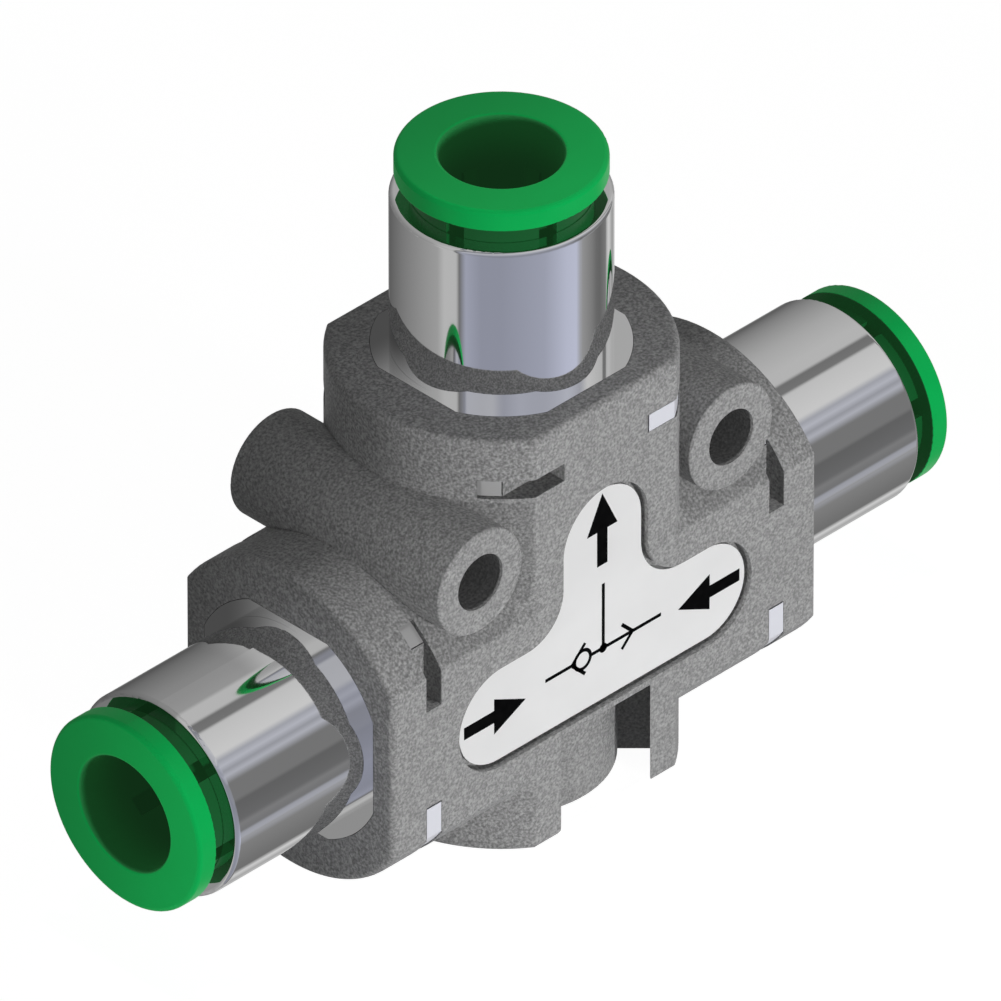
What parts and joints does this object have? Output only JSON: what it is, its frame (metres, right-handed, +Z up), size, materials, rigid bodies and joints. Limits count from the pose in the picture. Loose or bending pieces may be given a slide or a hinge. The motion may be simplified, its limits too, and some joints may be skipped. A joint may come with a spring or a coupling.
{
  "type": "shuttle valve",
  "caption": "Three-way pneumatic shuttle valve with push-in tube ports: the higher of two opposed inlet pressures moves the shuttle and reaches the outlet above.",
  "frame": {"origin": "the middle of the flat base, straight below the crossing of the port axes", "axes": "+X from the left inlet to the right inlet, +Z up the outlet, and the label on the -Y face"},
  "size_m": [0.0524, 0.0146, 0.0361],
  "materials": {
    "body_composite": "fine grained, glass filled",
    "label_white": "smooth satin",
    "plated_sleeve": "bright nickel plate",
    "green_button": "glossy moulded",
    "spring_steel": "bright strip",
    "clip_steel": "bright stamped edge",
    "collar_brass": "turned",
    "seal_rubber": "satin",
    "shuttle_acetal": "smooth"
  },
  "bodies": {
    "housing": {"valve_body": "body_composite", "label_plate": "label_white", "left_sleeve": "plated_sleeve", "left_grip_ring": "spring_steel", "left_collar": "collar_brass", "left_tube_seal": "seal_rubber", "left_ring_seal": "seal_rubber", "left_retaining_clip": "clip_steel", "right_sleeve": "plated_sleeve", "right_grip_ring": "spring_steel", "right_collar": "collar_brass", "right_tube_seal": "seal_rubber", "right_ring_seal": "seal_rubber", "right_retaining_clip": "clip_steel", "outlet_sleeve": "plated_sleeve", "outlet_grip_ring": "spring_steel", "outlet_collar": "collar_brass", "outlet_tube_seal": "seal_rubber", "outlet_ring_seal": "seal_rubber", "outlet_retaining_clip": "clip_steel"},
    "left_button": {"left_release_button": "green_button"},
    "right_button": {"right_release_button": "green_button"},
    "outlet_button": {"outlet_release_button": "green_button"},
    "shuttle": {"shuttle_spool": "shuttle_acetal", "shuttle_seal_left": "seal_rubber", "shuttle_seal_right": "seal_rubber"}
  },
  "joints": [
    {"name": "left_button_press", "type": "slide", "parent": "housing", "child": "left_button", "axis": [1, 0, 0], "range_m": [0, 0.001], "stiffness_N_per_m": 200},
    {"name": "right_button_press", "type": "slide", "parent": "housing", "child": "right_button", "axis": [-1, 0, 0], "range_m": [0, 0.001], "stiffness_N_per_m": 200},
    {"name": "outlet_button_press", "type": "slide", "parent": "housing", "child": "outlet_button", "axis": [0, 0, -1], "range_m": [0, 0.001], "stiffness_N_per_m": 200},
    {"name": "shuttle_slide", "type": "slide", "parent": "housing", "child": "shuttle", "axis": [1, 0, 0], "range_m": [-0.00148, 0.00148]}
  ]
}
